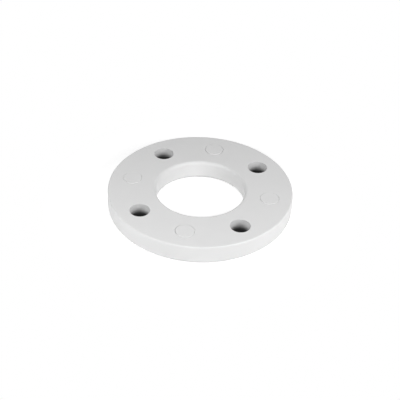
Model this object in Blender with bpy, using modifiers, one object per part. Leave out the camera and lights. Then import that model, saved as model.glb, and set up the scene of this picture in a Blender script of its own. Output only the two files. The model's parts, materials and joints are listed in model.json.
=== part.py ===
"""Loose backing flange for a plastic pipe joint, moulded in one piece.

The flange slips over a pipe stub, and four bolts draw it against the stub's shoulder. It is a flat ring with
a rounded rim and bore, four bolt holes, and four low round pads midway between the holes on its upper face.
Lengths are in metres. The origin is the centre of the lower face, and +Z runs up along the bore.
"""

import math

import bpy

# Bolt pattern: four M16 bolts on the circle that a 63 mm pipe joint has.
BOLT_COUNT = 4
BOLT_CIRCLE_DIAMETER = 0.125
BOLT_HOLE_DIAMETER = 0.0175

# Ring: its width is set from the bolts' centres, so a wall always stays on both sides of a hole.
BOLT_TO_RIM = 0.020
BOLT_TO_BORE = 0.023
THICKNESS = 0.018

# Radii of the rounded edges. The lower edge of the bore is the widest, for the fillet of the stub's shoulder.
RIM_UPPER_ROUND = 0.0013
RIM_LOWER_ROUND = 0.0036
BORE_UPPER_ROUND = 0.0030
BORE_LOWER_ROUND = 0.0040
HOLE_MOUTH_ROUND = 0.0003

# Moulded pads on the upper face. Each stands in a shallow pocket a little wider than itself, which leaves a
# fine groove round it, and its flank leans in by its run between the pocket's floor and the top.
PAD_DIAMETER = 0.0164
PAD_HEIGHT = 0.0003
PAD_FLANK_RUN = 0.00005
PAD_GROOVE_WIDTH = 0.0004
PAD_GROOVE_DEPTH = 0.0004

# Facets: sides of a full turn, and chords along each rounded edge.
RING_SIDES = 120
HOLE_SIDES = 48
PAD_SIDES = 40
ROUND_CHORDS = 5
MOUTH_CHORDS = 3

# Share of a facet by which a cutter is turned, so that its corners miss the edges of the ring and the pads.
CUTTER_TURN = 0.5

# How far a cutter or a pad's root runs on past the face that it crosses.
CROSSING = 0.002

# Screw leaves the two ends of a full turn apart, and this joins them.
SEAM_MERGE = 0.00001

LIGHT_GREY = (0.69, 0.69, 0.69, 1.0)
MOULDED_ROUGHNESS = 0.52

RIM_RADIUS = BOLT_CIRCLE_DIAMETER / 2 + BOLT_TO_RIM
BORE_RADIUS = BOLT_CIRCLE_DIAMETER / 2 - BOLT_TO_BORE


def clear_scene():
    for leftover in list(bpy.data.objects):
        bpy.data.objects.remove(leftover, do_unlink=True)


def new_collection(name):
    collection = bpy.data.collections.new(name)
    bpy.context.scene.collection.children.link(collection)
    return collection


def light_grey_pvc():
    """The light grey plastic, as it leaves the mould."""
    material = bpy.data.materials.new("light_grey_pvc")
    material.use_nodes = True
    shader = material.node_tree.nodes["Principled BSDF"]
    shader.inputs["Base Color"].default_value = LIGHT_GREY
    shader.inputs["Roughness"].default_value = MOULDED_ROUGHNESS
    shader.inputs["Metallic"].default_value = 0.0
    return material


def arc(centre, radius, start, end, chords):
    """Points of an arc in the plane of radius and height, from one angle in degrees to the other."""
    turns = [math.radians(start + (end - start) * i / chords) for i in range(chords + 1)]
    return [(centre[0] + radius * math.cos(t), centre[1] + radius * math.sin(t)) for t in turns]


def past(start, end, reach):
    """The point on the line from start through end that lies this far past end."""
    share = reach / math.dist(start, end)
    return end[0] + (end[0] - start[0]) * share, end[1] + (end[1] - start[1]) * share


def ring_section():
    """The ring's closed section: down the rim, in along the lower face, up the bore and out along the top."""
    corners = (
        (RIM_RADIUS - RIM_UPPER_ROUND, THICKNESS - RIM_UPPER_ROUND, RIM_UPPER_ROUND, 90),
        (RIM_RADIUS - RIM_LOWER_ROUND, RIM_LOWER_ROUND, RIM_LOWER_ROUND, 0),
        (BORE_RADIUS + BORE_LOWER_ROUND, BORE_LOWER_ROUND, BORE_LOWER_ROUND, -90),
        (BORE_RADIUS + BORE_UPPER_ROUND, THICKNESS - BORE_UPPER_ROUND, BORE_UPPER_ROUND, -180),
    )
    section = []
    for across, height, rounding, start in corners:
        section += arc((across, height), rounding, start, start - 90, ROUND_CHORDS)
    return section


def bolt_hole_section():
    """A bolt hole's cutter, whose rounded mouths flare on past both faces."""
    radius = BOLT_HOLE_DIAMETER / 2
    across = radius + HOLE_MOUTH_ROUND
    upper = arc((across, THICKNESS - HOLE_MOUTH_ROUND), HOLE_MOUTH_ROUND, 90, 180, MOUTH_CHORDS)
    lower = arc((across, HOLE_MOUTH_ROUND), HOLE_MOUTH_ROUND, 180, 270, MOUTH_CHORDS)
    top = past(upper[1], upper[0], CROSSING)
    bottom = past(lower[-2], lower[-1], CROSSING)
    return [(0, top[1]), top, *upper[1:], *lower[:-1], bottom, (0, bottom[1])]


def pocket_section():
    """The cutter of a pad's pocket, open through the upper face."""
    across = PAD_DIAMETER / 2 + PAD_GROOVE_WIDTH
    mouth = THICKNESS + CROSSING
    floor = THICKNESS - PAD_GROOVE_DEPTH
    return [(0, mouth), (across, mouth), (across, floor), (0, floor)]


def pad_section():
    """A pad with a flat top and a leaning flank, which runs on below the pocket's floor as its root."""
    shoulder = (PAD_DIAMETER / 2 - PAD_FLANK_RUN, THICKNESS + PAD_HEIGHT)
    foot = (PAD_DIAMETER / 2, THICKNESS - PAD_GROOVE_DEPTH)
    root = past(shoulder, foot, CROSSING)
    return [(0, shoulder[1]), shoulder, root, (0, root[1])]


def turned(name, section, sides, collection, closed=False):
    """A section in the XZ plane, turned once round Z."""
    points = [(across, 0, height) for across, height in section]
    edges = [(i, i + 1) for i in range(len(points) - 1)]
    if closed:
        edges.append((len(points) - 1, 0))
    mesh = bpy.data.meshes.new(name)
    mesh.from_pydata(points, edges, [])
    turned_object = bpy.data.objects.new(name, mesh)
    collection.objects.link(turned_object)
    screw = turned_object.modifiers.new("full_turn", "SCREW")
    screw.axis = "Z"
    screw.angle = math.tau
    screw.steps = sides
    screw.render_steps = sides
    screw.use_merge_vertices = True
    screw.merge_threshold = SEAM_MERGE
    screw.use_smooth_shade = True
    return turned_object


def tool_on_bolt_circle(name, section, sides, spacings, collection, facet_turn=0):
    """A hidden cutter or pad on the bolt circle, this many bolt spacings round from +X.

    Its own facets can be turned by a share of one about its axis.
    """
    tool = turned(name, section, sides, collection)
    angle = math.tau * spacings / BOLT_COUNT
    radius = BOLT_CIRCLE_DIAMETER / 2
    tool.location = (radius * math.cos(angle), radius * math.sin(angle), 0)
    tool.rotation_euler = (0, 0, angle + math.tau * facet_turn / sides)
    tool.hide_render = True
    tool.display_type = "WIRE"
    return tool


def combine(piece, tool, operation):
    boolean = piece.modifiers.new(tool.name, "BOOLEAN")
    boolean.operation = operation
    boolean.solver = "EXACT"
    boolean.object = tool


def flange(collection, tools):
    """The ring, with a pad on each of its four axes and the bolt holes astride them."""
    ring = turned("flange", ring_section(), RING_SIDES, collection, closed=True)
    ring.data.materials.append(light_grey_pvc())
    for i in range(BOLT_COUNT):
        pocket = tool_on_bolt_circle(
            f"pad_pocket_{i + 1}", pocket_section(), PAD_SIDES, i, tools, CUTTER_TURN
        )
        combine(ring, pocket, "DIFFERENCE")
        pad = tool_on_bolt_circle(f"pad_{i + 1}", pad_section(), PAD_SIDES, i, tools)
        combine(ring, pad, "UNION")
    for i in range(BOLT_COUNT):
        hole = tool_on_bolt_circle(
            f"bolt_hole_{i + 1}", bolt_hole_section(), HOLE_SIDES, i + 0.5, tools, CUTTER_TURN
        )
        combine(ring, hole, "DIFFERENCE")
    ring.modifiers.new("even_shading", "WEIGHTED_NORMAL")
    return ring


def main():
    clear_scene()
    flange(new_collection("pipe_flange"), new_collection("pads_and_cutters"))


main()
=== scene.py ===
# %% [markdown]
# # A loose backing flange on a white table
#
# The object is a backing flange for plastic pipe: one flat ring of light grey PVC, moulded in one go. It
# slips over a pipe stub, and four bolts draw it against the stub's shoulder. This lesson models its surface
# finely, gives it the satin skin of a moulding, and sets it in a photographer's soft light.
#
# The frame already holds the flange as a coarse solid at its real place. Everything below is in metres, with
# +Z up along the bore, so the fine ring is made straight where the solid stands.

# %% Load the frame
import json
import math

import bmesh
import bpy
from mathutils import Matrix, Vector


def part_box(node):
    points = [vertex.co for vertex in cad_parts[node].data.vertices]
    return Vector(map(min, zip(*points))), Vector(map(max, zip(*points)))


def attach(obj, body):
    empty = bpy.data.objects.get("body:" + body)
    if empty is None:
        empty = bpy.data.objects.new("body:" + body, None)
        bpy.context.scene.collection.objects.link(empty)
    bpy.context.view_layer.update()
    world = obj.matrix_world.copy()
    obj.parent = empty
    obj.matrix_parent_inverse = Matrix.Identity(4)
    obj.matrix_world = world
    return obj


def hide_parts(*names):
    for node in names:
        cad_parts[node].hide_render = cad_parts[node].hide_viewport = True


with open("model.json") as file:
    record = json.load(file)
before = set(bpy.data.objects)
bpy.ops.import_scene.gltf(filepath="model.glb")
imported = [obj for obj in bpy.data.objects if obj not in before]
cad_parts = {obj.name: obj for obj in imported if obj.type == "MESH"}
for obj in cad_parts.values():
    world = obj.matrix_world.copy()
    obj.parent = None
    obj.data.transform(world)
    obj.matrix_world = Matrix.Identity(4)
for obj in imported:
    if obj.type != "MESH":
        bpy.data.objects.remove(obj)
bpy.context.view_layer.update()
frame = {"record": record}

# %% [markdown]
# ## Sizes
#
# The ring's outer radius and height come from the solid, and the bolts' place from the openings that its
# record states. The other sizes are the flange's own: holes that clear an M16 bolt, a bore that passes the
# stub of a 63 mm pipe, the radii that the mould leaves on its edges, and the low pads with the fine groove
# round each.

# %% Sizes of the flange
low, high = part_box("flange")
openings = {opening["name"]: opening["box_m"] for opening in frame["record"]["physics"]["openings"]}
near_corner, far_corner = (Vector(corner) for corner in openings["bolt_hole_1"])

PAD_HEIGHT = 0.0003
RIM_RADIUS = (high.x - low.x) / 2
THICKNESS = high.z - PAD_HEIGHT
BOLT_CIRCLE_RADIUS = ((near_corner + far_corner) / 2).xy.length
BOLT_COUNT = 4
BORE_RADIUS = 0.0395
HOLE_RADIUS = 0.00875
PAD_RADIUS = 0.0082
PAD_FLANK_RUN = 0.00005
PAD_GROOVE_WIDTH = 0.0004
PAD_GROOVE_DEPTH = 0.0004

RIM_UPPER_ROUND = 0.0013
RIM_LOWER_ROUND = 0.0036
BORE_UPPER_ROUND = 0.0030
BORE_LOWER_ROUND = 0.0040
HOLE_MOUTH_ROUND = 0.0003
PAD_EDGE_ROUND = 0.00012

# Sides of a full turn, and segments along each rounded edge.
RING_SIDES = 288
HOLE_SIDES = 96
PAD_SIDES = 96
RING_EDGE_SEGMENTS = 12
MOUTH_SEGMENTS = 6
PAD_EDGE_SEGMENTS = 3

# Two points nearer to each other than this are the same place.
CLOSE = 0.00001

ring_width, ring_height, circle_width = (
    1000 * size for size in (2 * RIM_RADIUS, THICKNESS, 2 * BOLT_CIRCLE_RADIUS)
)
print(f"ring {ring_width:.1f} x {ring_height:.1f} mm, bolt circle {circle_width:.1f} mm")

# %% [markdown]
# ## Working in edit mode
#
# An operator acts on whatever is selected, so two small helpers do the choosing. One makes a piece the only
# selected object. The other picks vertices, edges or faces by a test of their place or normal, as one would
# click them by hand.


# %% Selecting by place
def only(piece):
    """Makes this the one selected object, and the active one."""
    bpy.ops.object.select_all(action="DESELECT")
    piece.select_set(True)
    bpy.context.view_layer.objects.active = piece


def pick(piece, kind, wanted):
    """Selects what passes the test in an open mesh, and gives how many there are."""
    bpy.ops.mesh.select_mode(type=kind)
    bpy.ops.mesh.select_all(action="DESELECT")
    mesh = bmesh.from_edit_mesh(piece.data)
    items = {"VERT": mesh.verts, "EDGE": mesh.edges, "FACE": mesh.faces}[kind]
    found = [item for item in items if wanted(item)]
    for item in found:
        item.select_set(True)
    bmesh.update_edit_mesh(piece.data)
    return len(found)


def edge_at(edge, height, radius=None, centre=(0, 0)):
    """True for an edge that lies at this height and, if one is given, at this radius from the centre."""
    return all(
        abs(vert.co.z - height) < CLOSE
        and (radius is None or abs(math.dist(vert.co.xy, centre) - radius) < CLOSE)
        for vert in edge.verts
    )


# %% [markdown]
# ## The ring
#
# The ring is a turned shape, so it starts as its own section: a plane as wide as the ring's wall and as high
# as the ring is thick. Each corner gets its own radius by a vertex bevel. The plane's face is then deleted,
# and its outline is spun once round the bore's axis. Spinning keeps every ring of points exact, which a
# subdivided cage would only come close to.

# %% Section with rounded corners
bpy.ops.object.select_all(action="DESELECT")
bpy.ops.mesh.primitive_plane_add(
    size=1,
    location=((RIM_RADIUS + BORE_RADIUS) / 2, 0, THICKNESS / 2),
    rotation=(math.pi / 2, 0, 0),
)
ring = bpy.context.object
ring.name = ring.data.name = "moulded_ring"
ring.scale = (RIM_RADIUS - BORE_RADIUS, THICKNESS, 1)
bpy.ops.object.transform_apply(location=True, rotation=True, scale=True)

CORNERS = (
    (RIM_RADIUS, THICKNESS, RIM_UPPER_ROUND),
    (RIM_RADIUS, 0, RIM_LOWER_ROUND),
    (BORE_RADIUS, 0, BORE_LOWER_ROUND),
    (BORE_RADIUS, THICKNESS, BORE_UPPER_ROUND),
)
bpy.ops.object.mode_set(mode="EDIT")
for across, height, rounding in CORNERS:
    corner = Vector((across, 0, height))
    pick(ring, "VERT", lambda vert: (vert.co - corner).length < CLOSE)
    bpy.ops.mesh.bevel(offset=rounding, segments=RING_EDGE_SEGMENTS, profile=0.5, affect="VERTICES")
print("points in the section:", len(bmesh.from_edit_mesh(ring.data).verts))

# %% One full turn
pick(ring, "FACE", lambda face: True)
bpy.ops.mesh.delete(type="ONLY_FACE")
bpy.ops.mesh.select_mode(type="EDGE")
bpy.ops.mesh.select_all(action="SELECT")
bpy.ops.mesh.spin(
    steps=RING_SIDES,
    angle=math.tau,
    use_auto_merge=True,
    center=(0, 0, 0),
    axis=(0, 0, 1),
)
bpy.ops.mesh.select_all(action="SELECT")
bpy.ops.mesh.remove_doubles(threshold=CLOSE / 10)
print("faces in the turned ring:", len(bmesh.from_edit_mesh(ring.data).faces))

# %% [markdown]
# The two flat faces are opened, to be filled again once the holes and pads are there. A narrow strip of the
# flat is kept beside each rounded edge by an inset. It holds the flat's normal, so smooth shading turns only
# round the edge and leaves the face even.

# %% Open the flat faces
FLAT_STRIP = 0.0003
FLAT_NORMAL = 0.9999
pick(ring, "FACE", lambda face: abs(face.normal.z) > FLAT_NORMAL)
bpy.ops.mesh.inset(thickness=FLAT_STRIP, depth=0, use_boundary=True, use_even_offset=True)
bpy.ops.mesh.delete(type="FACE")
bpy.ops.object.mode_set(mode="OBJECT")

# %% [markdown]
# ## The bolt holes
#
# A bolt hole is a plain tube through the wall with a small radius at each mouth. It starts as an open
# cylinder. Each end is extruded outwards into a narrow flat lip in the plane of the ring's face, and the bend
# between tube and lip is bevelled. One tube is made, and a spin with copies sets the others round the bolt
# circle.

# %% One bolt hole, copied round
HOLE_CENTRE = (BOLT_CIRCLE_RADIUS, 0)
bpy.ops.object.select_all(action="DESELECT")
bpy.ops.mesh.primitive_cylinder_add(
    vertices=HOLE_SIDES,
    radius=HOLE_RADIUS,
    depth=THICKNESS,
    end_fill_type="NOTHING",
    location=(*HOLE_CENTRE, THICKNESS / 2),
)
holes = bpy.context.object
holes.name = holes.data.name = "bolt_holes"
bpy.ops.object.transform_apply(location=True, rotation=True, scale=True)
bpy.ops.object.mode_set(mode="EDIT")
lip_growth = (HOLE_RADIUS + HOLE_MOUTH_ROUND + FLAT_STRIP) / HOLE_RADIUS
for height in (0, THICKNESS):
    pick(holes, "EDGE", lambda edge: edge_at(edge, height))
    bpy.ops.mesh.extrude_edges_move()
    bpy.ops.transform.resize(value=(lip_growth, lip_growth, 1), center_override=(*HOLE_CENTRE, height))
    pick(holes, "EDGE", lambda edge: edge_at(edge, height, HOLE_RADIUS, HOLE_CENTRE))
    bpy.ops.mesh.bevel(offset=HOLE_MOUTH_ROUND, segments=MOUTH_SEGMENTS, profile=0.5, affect="EDGES")

# The holes lie astride the axes, so the first is turned by half a spacing before it is copied.
bpy.ops.mesh.select_all(action="SELECT")
half_spacing = math.pi / BOLT_COUNT
bpy.ops.transform.rotate(value=half_spacing, orient_axis="Z", center_override=(0, 0, 0))
bpy.ops.mesh.spin(
    steps=BOLT_COUNT - 1,
    dupli=True,
    angle=math.tau * (BOLT_COUNT - 1) / BOLT_COUNT,
    center=(0, 0, 0),
    axis=(0, 0, 1),
)
bpy.ops.object.mode_set(mode="OBJECT")
hole_centres = [
    BOLT_CIRCLE_RADIUS * Vector((math.cos(turn), math.sin(turn)))
    for turn in (half_spacing * (2 * i + 1) for i in range(BOLT_COUNT))
]
print("faces in the bolt holes:", len(holes.data.polygons))

# %% [markdown]
# ## The pads
#
# Midway between the holes the mould leaves low round pads. Each is a flat disc that stands a few tenths of a
# millimetre proud, in a shallow pocket a little wider than itself, so a fine groove runs round it. The groove
# is most of what the eye sees of a pad: its sides fall into shade, and its near wall catches the light.
#
# A pad starts as a filled circle at its top. Its outline is extruded down a steep flank to the groove's
# floor, out along the floor, up the outer wall, and on into a lip that joins the face. A fine bevel softens
# the two edges that stand in the light.

# %% One pad, copied round
PAD_CENTRE = (BOLT_CIRCLE_RADIUS, 0)
PAD_TOP = THICKNESS + PAD_HEIGHT
shoulder_radius = PAD_RADIUS - PAD_FLANK_RUN
bpy.ops.object.select_all(action="DESELECT")
bpy.ops.mesh.primitive_circle_add(
    vertices=PAD_SIDES,
    radius=shoulder_radius,
    fill_type="NGON",
    location=(*PAD_CENTRE, PAD_TOP),
)
pads = bpy.context.object
pads.name = pads.data.name = "pads"
bpy.ops.object.transform_apply(location=True, rotation=True, scale=True)
bpy.ops.object.mode_set(mode="EDIT")
groove_radius = PAD_RADIUS + PAD_GROOVE_WIDTH
groove_floor = THICKNESS - PAD_GROOVE_DEPTH
previous_radius, previous_height = shoulder_radius, PAD_TOP
for radius, height in (
    (PAD_RADIUS, groove_floor),
    (groove_radius - PAD_FLANK_RUN, groove_floor),
    (groove_radius, THICKNESS),
    (groove_radius + FLAT_STRIP, THICKNESS),
):
    pick(pads, "EDGE", lambda edge: edge_at(edge, previous_height, previous_radius, PAD_CENTRE))
    step = (0, 0, height - previous_height)
    bpy.ops.mesh.extrude_edges_move(TRANSFORM_OT_translate={"value": step})
    growth = radius / previous_radius
    bpy.ops.transform.resize(value=(growth, growth, 1), center_override=(*PAD_CENTRE, height))
    previous_radius, previous_height = radius, height
for radius, height, rounding in (
    (shoulder_radius, PAD_TOP, PAD_EDGE_ROUND),
    (groove_radius, THICKNESS, PAD_EDGE_ROUND / 2),
):
    pick(pads, "EDGE", lambda edge: edge_at(edge, height, radius, PAD_CENTRE))
    bpy.ops.mesh.bevel(offset=rounding, segments=PAD_EDGE_SEGMENTS, profile=0.5, affect="EDGES")
pick(pads, "FACE", lambda face: len(face.verts) > 4)
bpy.ops.mesh.inset(thickness=FLAT_STRIP)
bpy.ops.mesh.select_all(action="SELECT")
bpy.ops.mesh.spin(
    steps=BOLT_COUNT - 1,
    dupli=True,
    angle=math.tau * (BOLT_COUNT - 1) / BOLT_COUNT,
    center=(0, 0, 0),
    axis=(0, 0, 1),
)
bpy.ops.object.mode_set(mode="OBJECT")
print("faces in the pads:", len(pads.data.polygons))

# %% [markdown]
# ## One skin
#
# The real flange is one piece, so the three meshes are joined and the open flats are filled between their
# rims. Fill works out by itself which loops lie inside others, and leaves the holes open.

# %% Join and fill
only(ring)
holes.select_set(True)
pads.select_set(True)
bpy.ops.object.join()
ring.active_material_index = 0
bpy.ops.object.mode_set(mode="EDIT")
for height in (0, THICKNESS):
    pick(ring, "EDGE", lambda edge: edge.is_boundary and edge_at(edge, height))
    bpy.ops.mesh.fill(use_beauty=True)
open_edges = pick(ring, "EDGE", lambda edge: not edge.is_manifold)
bpy.ops.mesh.select_all(action="SELECT")
bpy.ops.mesh.normals_make_consistent(inside=False)
bpy.ops.object.mode_set(mode="OBJECT")
bpy.ops.object.shade_smooth()
print("faces in the flange:", len(ring.data.polygons), "open edges:", open_edges)

# %% [markdown]
# ## Light grey moulded PVC
#
# Unplasticised PVC for pipe is coloured right through with pigment, so it is opaque and has no grain. Its
# skin copies the mould: a matt satin, with a faint pebble from the steel, and broad soft waves where the melt
# cooled unevenly. Its gloss is weaker than a polished sheet's, so the specular level is half of the usual.
# The colour is almost even, with pale clouds a centimetre or two across.


# %% Colours and nodes
def linear(code):
    """An sRGB hex colour as linear values, as the shader wants them."""
    values = [int(code[i : i + 2], 16) / 255 for i in (1, 3, 5)]
    return (*(v / 12.92 if v <= 0.04045 else ((v + 0.055) / 1.055) ** 2.4 for v in values), 1)


def add(tree, kind, links=None, **settings):
    """Adds a node. Settings are its own properties, and links give its inputs a value or an output."""
    node = tree.nodes.new("ShaderNode" + kind)
    for name, value in settings.items():
        setattr(node, name, value)
    for name, value in (links or {}).items():
        if isinstance(value, bpy.types.NodeSocket):
            tree.links.new(value, node.inputs[name])
        else:
            node.inputs[name].default_value = value
    return node


def new_material(name):
    """An empty node material and its tree."""
    material = bpy.data.materials.new(name)
    material.use_nodes = True
    material.node_tree.nodes.clear()
    return material, material.node_tree


# %% The moulded skin
PVC_PALE = "#DBDBDB"
PVC_DEEP = "#D7D7D7"
PVC_IOR = 1.54
PVC_SPECULAR = 0.25
PVC_ROUGHNESS = 0.52
CLOUD_SIZE = 0.016
PEBBLE_SIZE = 0.0011
PEBBLE_DEPTH = 0.000004
WAVE_SIZE = 0.024
WAVE_DEPTH = 0.00003


def moulded_pvc(name, shade=None):
    """Light grey PVC with clouded colour, a fine pebble and broad waves, and painted shade by height where
    asked.
    """
    material, tree = new_material(name)
    place = add(tree, "TexCoord").outputs["Object"]
    clouds = add(tree, "TexNoise", {"Vector": place, "Scale": 1 / CLOUD_SIZE, "Detail": 3.0})
    colour = add(
        tree,
        "Mix",
        {"Factor": clouds.outputs["Fac"], "A": linear(PVC_DEEP), "B": linear(PVC_PALE)},
        data_type="RGBA",
    )
    # Where asked, the colour is darkened by height, which paints shade onto the surface.
    if shade:
        height = add(tree, "SeparateXYZ", {"Vector": place}).outputs["Z"]
        height = add(tree, "MapRange", {"Value": height, "From Max": THICKNESS})
        ramp = add(tree, "ValToRGB", {"Fac": height.outputs["Result"]})
        stops = ramp.color_ramp.elements
        ends = len(stops)
        for i, (share, grey) in enumerate(shade):
            stop = stops[i] if i < ends else stops.new(share)
            stop.position, stop.color = share, (grey, grey, grey, 1)
        colour = add(
            tree,
            "Mix",
            {"Factor": 1.0, "A": colour.outputs["Result"], "B": ramp.outputs["Color"]},
            data_type="RGBA",
            blend_type="MULTIPLY",
        )
    pebble = add(tree, "TexNoise", {"Vector": place, "Scale": 1 / PEBBLE_SIZE, "Detail": 2.0})
    waves = add(tree, "TexNoise", {"Vector": place, "Scale": 1 / WAVE_SIZE, "Detail": 1.0})
    relief = add(tree, "Bump", {"Height": waves.outputs["Fac"], "Distance": WAVE_DEPTH})
    relief = add(
        tree,
        "Bump",
        {"Height": pebble.outputs["Fac"], "Distance": PEBBLE_DEPTH, "Normal": relief.outputs["Normal"]},
    )
    shader = add(
        tree,
        "BsdfPrincipled",
        {
            "Base Color": colour.outputs["Result"],
            "Roughness": PVC_ROUGHNESS,
            "IOR": PVC_IOR,
            "Specular IOR Level": PVC_SPECULAR,
            "Normal": relief.outputs["Normal"],
        },
    )
    add(tree, "OutputMaterial", {"Surface": shader.outputs["BSDF"]})
    return material


# %% [markdown]
# ## Shade down the bolt holes
#
# A bolt hole in the photograph falls from light grey to almost black between its mouth and the middle of the
# wall. Pale walls under soft light stay lighter than that in a render, because they pass light on to each
# other. So the walls get the same PVC with a painted shade: its colour is darkened by height, nearly full at
# both mouths and dark inside. It is shade painted on the surface, and it stays in its place from every side.

# %% Finish of the ring, and painted shade in its bolt holes
# Each pair is a share of the ring's height, from the lower face up, and the share of the colour that the
# painted shade leaves.
# The two mouths come first, because a new ramp already has a stop at each end.
HOLE_PAINTED_SHADE = (
    (0.0, 0.84),
    (1.0, 0.84),
    (0.20, 0.005),
    (0.30, 0.006),
    (0.36, 0.008),
    (0.42, 0.05),
    (0.48, 0.18),
    (0.54, 0.42),
    (0.60, 0.57),
    (0.66, 0.75),
    (0.74, 0.82),
    (0.84, 0.87),
)
ring.data.materials.clear()
ring.data.materials.append(moulded_pvc("light_grey_moulded_pvc"))
# The bolt holes' walls get the painted shade, darker inside than at the mouths.
ring.data.materials.append(moulded_pvc("light_grey_moulded_pvc_painted_shade_in_holes", HOLE_PAINTED_SHADE))
for face in ring.data.polygons:
    across = min(math.dist(face.center.xy, centre) for centre in hole_centres)
    face.material_index = 1 if across < HOLE_RADIUS + HOLE_MOUTH_ROUND else 0
print("materials:", [material.name for material in ring.data.materials])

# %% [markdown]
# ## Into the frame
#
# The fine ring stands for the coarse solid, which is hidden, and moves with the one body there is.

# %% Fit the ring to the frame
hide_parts("flange")
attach(ring, "root")

# %% [markdown]
# ## The table
#
# A sheet of white table stands in for the photographer's sweep. It lights the ring from below as a white
# sheet does. A real sweep burns out to plain white a little way from the object. Turning up the lamps would
# burn the flange out as well, so only what the camera and reflections see of the table is changed. Near the
# ring a little white is added to it, which keeps a faint shadow, and further out it becomes a plain white
# page.

# %% White table
TABLE_WHITE = "#EDEDED"
TABLE_SIZE = 6.0
PAGE_LIFT = 0.45
PAGE_STARTS = RIM_RADIUS
PAGE_IS_WHITE = RIM_RADIUS + 0.06
WHITE = (1, 1, 1, 1)


def seen_directly(tree):
    """Is 1 where the camera, a reflection or clear glass sees the surface, and 0 for the light it gives."""
    rays = add(tree, "LightPath")
    seen = add(
        tree,
        "Math",
        {0: rays.outputs["Is Camera Ray"], 1: rays.outputs["Is Glossy Ray"]},
        operation="ADD",
    )
    seen = add(tree, "Math", {0: seen.outputs[0], 1: rays.outputs["Is Transmission Ray"]}, operation="ADD")
    seen.use_clamp = True
    return seen.outputs[0]


bpy.ops.object.select_all(action="DESELECT")
bpy.ops.mesh.primitive_plane_add(size=TABLE_SIZE, location=(0, 0, 0))
table = bpy.context.object
table.name = table.data.name = "white_table"
table_finish, tree = new_material("white_table_sheet")
sheet = add(tree, "BsdfDiffuse", {"Color": linear(TABLE_WHITE)})
lift = add(tree, "Emission", {"Color": WHITE, "Strength": PAGE_LIFT})
near = add(tree, "AddShader", {0: sheet.outputs[0], 1: lift.outputs[0]})
white = add(tree, "Emission", {"Color": WHITE, "Strength": 1.0})
place = add(tree, "TexCoord").outputs["Object"]
reach = add(tree, "VectorMath", {0: place}, operation="LENGTH")
reach = add(
    tree,
    "MapRange",
    {"Value": reach.outputs["Value"], "From Min": PAGE_STARTS, "From Max": PAGE_IS_WHITE},
    interpolation_type="SMOOTHSTEP",
)
page = add(tree, "MixShader", {0: reach.outputs["Result"], 1: near.outputs[0], 2: white.outputs[0]})
choice = add(tree, "MixShader", {0: seen_directly(tree), 1: sheet.outputs[0], 2: page.outputs[0]})
add(tree, "OutputMaterial", {"Surface": choice.outputs[0]})
table.data.materials.append(table_finish)

# %% [markdown]
# ## Soft light
#
# The ring's walls are brighter than its upper face, so most of the light comes in low. Two large soft boxes
# stand far off at the left and the right, 25 degrees up. Three small ones stand nearer by at the left, the
# front left and the right, 30 degrees up, and one high in front adds light to the upper face. Two behind keep
# the back wall from going dark, which turns away from all the others, and the room adds a little light from
# all round.

# %% Soft boxes and surroundings
VIEW_AZIMUTH = 10.75


def toward(azimuth, elevation):
    """The direction at this azimuth, from the camera's side round to the right, and elevation in degrees."""
    turn, rise = math.radians(VIEW_AZIMUTH + azimuth), math.radians(elevation)
    return Vector((math.sin(turn) * math.cos(rise), -math.cos(turn) * math.cos(rise), math.sin(rise)))


def soft_box(name, azimuth, elevation, distance, width, power):
    """A round area lamp that faces the flange."""
    lamp = bpy.data.lights.new(name, "AREA")
    lamp.shape = "DISK"
    lamp.size = width
    lamp.energy = power
    holder = bpy.data.objects.new(name, lamp)
    holder.location = toward(azimuth, elevation) * distance
    holder.rotation_euler = toward(azimuth, elevation).to_track_quat("Z", "Y").to_euler()
    holder.visible_camera = False
    bpy.context.scene.collection.objects.link(holder)


# Name, azimuth and elevation in degrees, distance and width in metres, and power in watts.
SOFT_BOXES = (
    ("left_wall_box", -60, 25, 1.2, 0.6, 1.58),
    ("right_wall_box", 60, 25, 1.2, 0.6, 5.46),
    ("left_box", -60, 30, 0.5, 0.25, 0.62),
    ("front_box", -30, 30, 0.5, 0.25, 0.57),
    ("right_box", 60, 30, 0.5, 0.25, 0.747),
    ("high_box", 0, 70, 0.5, 0.25, 0.496),
    ("back_box", 180, 55, 1.2, 0.6, 0.58),
    ("back_wall_box", 180, 15, 1.2, 0.6, 1.1),
)
for box in SOFT_BOXES:
    soft_box(*box)

ROOM_LIGHT = 0.12
room = bpy.data.worlds.new("pale_room")
room.use_nodes = True
room.node_tree.nodes.clear()
tree = room.node_tree
plain = add(tree, "Background", {"Color": WHITE, "Strength": ROOM_LIGHT})
white = add(tree, "Background", {"Color": WHITE, "Strength": 1.0})
choice = add(tree, "MixShader", {0: seen_directly(tree), 1: plain.outputs[0], 2: white.outputs[0]})
add(tree, "OutputWorld", {"Surface": choice.outputs[0]})
bpy.context.scene.world = room
bpy.context.scene.view_settings.view_transform = "Standard"

# %% [markdown]
# ## The camera
#
# The outlines of the rim, the bore and the holes fix where the camera stood: about 37 degrees above the table
# and a little under a metre away, with a long lens. It was tipped by two degrees, so the ring leans in the
# picture.

# %% Camera at the photograph's angle
VIEW_ELEVATION = 37.37
VIEW_DISTANCE = 0.9243
VIEW_TIP = 2.13
LENS_MM = 91.65
SENSOR_MM = 36
AIM = Vector((-0.00108, 0.00593, 0))

camera_data = bpy.data.cameras.new("camera")
camera_data.sensor_width = SENSOR_MM
camera_data.lens = LENS_MM
camera = bpy.data.objects.new("camera", camera_data)
back = toward(0, VIEW_ELEVATION)
facing = back.to_track_quat("Z", "Y").to_matrix().to_4x4()
tip = Matrix.Rotation(math.radians(VIEW_TIP), 4, "Z")
camera.matrix_world = Matrix.Translation(AIM + back * VIEW_DISTANCE) @ facing @ tip
bpy.context.scene.collection.objects.link(camera)
bpy.context.scene.camera = camera
print("camera at", [round(v, 3) for v in camera.matrix_world.translation])

# %% [markdown]
# ## Bring the scene up to date
#
# The fine ring has to fill the solid's box and no more. Here the scene is only brought up to date.

# %% Update the scene
bpy.context.view_layer.update()
